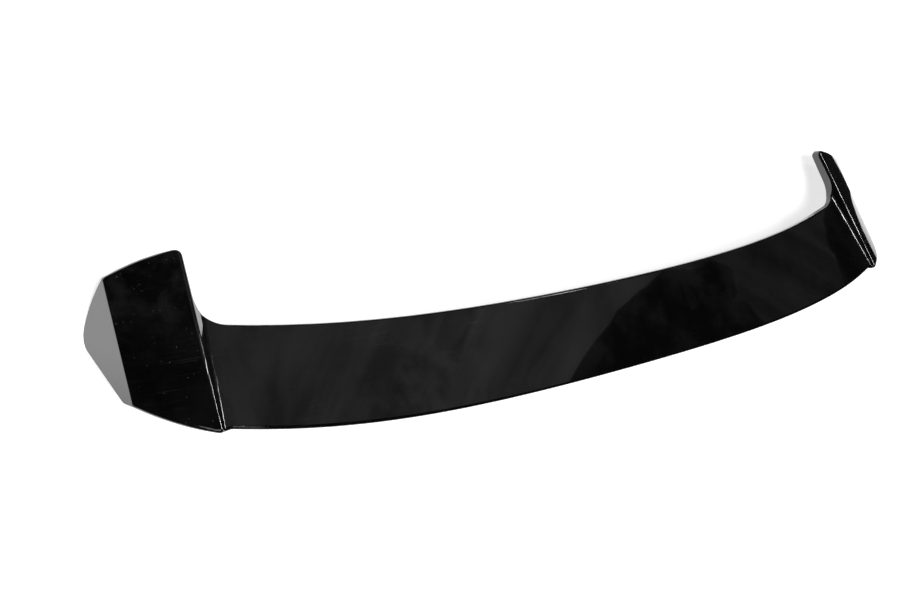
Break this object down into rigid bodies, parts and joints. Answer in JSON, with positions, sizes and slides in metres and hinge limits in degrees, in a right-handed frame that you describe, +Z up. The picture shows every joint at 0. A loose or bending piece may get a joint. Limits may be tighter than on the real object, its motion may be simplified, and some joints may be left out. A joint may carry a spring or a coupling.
{
  "type": "car roof spoiler",
  "caption": "Gloss black roof spoiler for a hatchback: a thin crowned blade with a crested pod and a short fin at each end, hollow underneath.",
  "frame": {"origin": "middle of the underside of the front rim, where the blade is bonded to the roof edge of the tailgate", "axes": "+X across the car, +Y to the rear of the car, +Z up, in the position it has on the car"},
  "size_m": [1.225, 0.2204, 0.1309],
  "materials": {
    "black_plastic": "high gloss black, moulded"
  },
  "bodies": {
    "root": {"spoiler": "black_plastic"}
  },
  "joints": []
}
